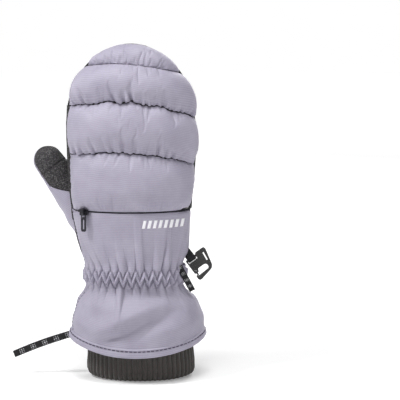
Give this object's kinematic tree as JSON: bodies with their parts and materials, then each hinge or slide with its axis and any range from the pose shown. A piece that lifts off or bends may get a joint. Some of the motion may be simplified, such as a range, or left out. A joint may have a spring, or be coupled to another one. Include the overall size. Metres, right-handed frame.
{
  "type": "ski mitten",
  "caption": "Insulated right-hand ski mitten with a quilted back, zip pocket, grip palm, elastic wrist, flared gauntlet, knitted cuff, glove clip and ribbon leash.",
  "frame": {"origin": "under the middle of the bounding box, on the surface that the knitted cuff stands on", "axes": "+Z from the cuff to the fingertips, -Y out of the back of the hand, +Y out of the palm, -X towards the thumb"},
  "size_m": [0.18, 0.079, 0.296],
  "materials": {
    "shell": "satin woven nylon",
    "grip": "matt pebbled grip cloth",
    "knit": "matt rib knit",
    "wadding": "matt fleece wadding",
    "membrane": "satin film",
    "fleece": "matt brushed fleece",
    "mesh": "matt lining cloth",
    "elastic": "matt woven elastic",
    "ribbon": "matt woven ribbon",
    "zip_tape": "matt woven tape",
    "nylon": "satin moulded nylon",
    "gunmetal": "satin dark plating"
  },
  "bodies": {
    "mitten": {"back_hand_baffle": "shell", "back_knuckle_baffle": "shell", "back_finger_baffle": "shell", "back_tip_baffle": "shell", "pocket_panel": "shell", "palm_panel": "grip", "fingertip_cap": "grip", "thumb_back": "shell", "thumb_grip": "grip", "thumb_tip_cap": "grip", "palm_wadding": "wadding", "pocket_wadding": "wadding", "back_hand_wadding": "wadding", "back_knuckle_wadding": "wadding", "back_finger_wadding": "wadding", "back_tip_wadding": "wadding", "thumb_wadding": "wadding", "waterproof_membrane": "membrane", "fleece_lining": "fleece", "pocket_bag": "mesh", "wrist_band": "shell", "upper_elastic": "elastic", "lower_elastic": "elastic", "gauntlet_palm": "shell", "gauntlet_back": "shell", "hem_band": "shell", "gauntlet_lining": "mesh", "knit_cuff": "knit", "zip_tape_upper": "zip_tape", "zip_tape_lower": "zip_tape", "zip_coil": "nylon", "zip_stop_thumb_side": "gunmetal", "zip_stop_little_side": "gunmetal", "clip_strap": "ribbon"},
    "zip_slider": {"zip_slider": "gunmetal"},
    "zip_puller": {"zip_puller": "gunmetal"},
    "glove_clip": {"clip_hook": "nylon", "gate_pin": "gunmetal"},
    "clip_gate": {"clip_gate": "nylon"},
    "leash": {"leash_loop": "ribbon"},
    "side_label": {"side_label": "ribbon"}
  },
  "joints": [
    {"name": "zip_travel", "type": "hinge", "parent": "mitten", "child": "zip_slider", "pos_m": [0.01792, 0.0574, 0.1514], "axis": [0, 0, 1], "range_deg": [0, 54]},
    {"name": "puller_lift", "type": "hinge", "parent": "zip_slider", "child": "zip_puller", "pos_m": [-0.0224, -0.02172, 0.1514], "axis": [-0.891, 0.454, 0], "range_deg": [0, 120]},
    {"name": "clip_swing", "type": "hinge", "parent": "mitten", "child": "glove_clip", "pos_m": [0.07165, 0.001, 0.1063], "axis": [0.8051, 0, 0.5931], "range_deg": [-20, 60]},
    {"name": "gate_open", "type": "hinge", "parent": "glove_clip", "child": "clip_gate", "pos_m": [0.07539, 0.001, 0.09515], "axis": [0, -1, 0], "range_deg": [0, 35], "stiffness_Nm_per_rad": 0.01},
    {"name": "leash_flex", "type": "hinge", "parent": "mitten", "child": "leash", "pos_m": [-0.03858, 0.001, 0.037], "axis": [0, 1, 0], "range_deg": [-60, 40], "stiffness_Nm_per_rad": 0.02},
    {"name": "label_flex", "type": "hinge", "parent": "mitten", "child": "side_label", "pos_m": [0.05842, -0.0112, 0.1005], "axis": [-0.8829, 0, -0.4695], "range_deg": [0, 60], "stiffness_Nm_per_rad": 0.002}
  ]
}
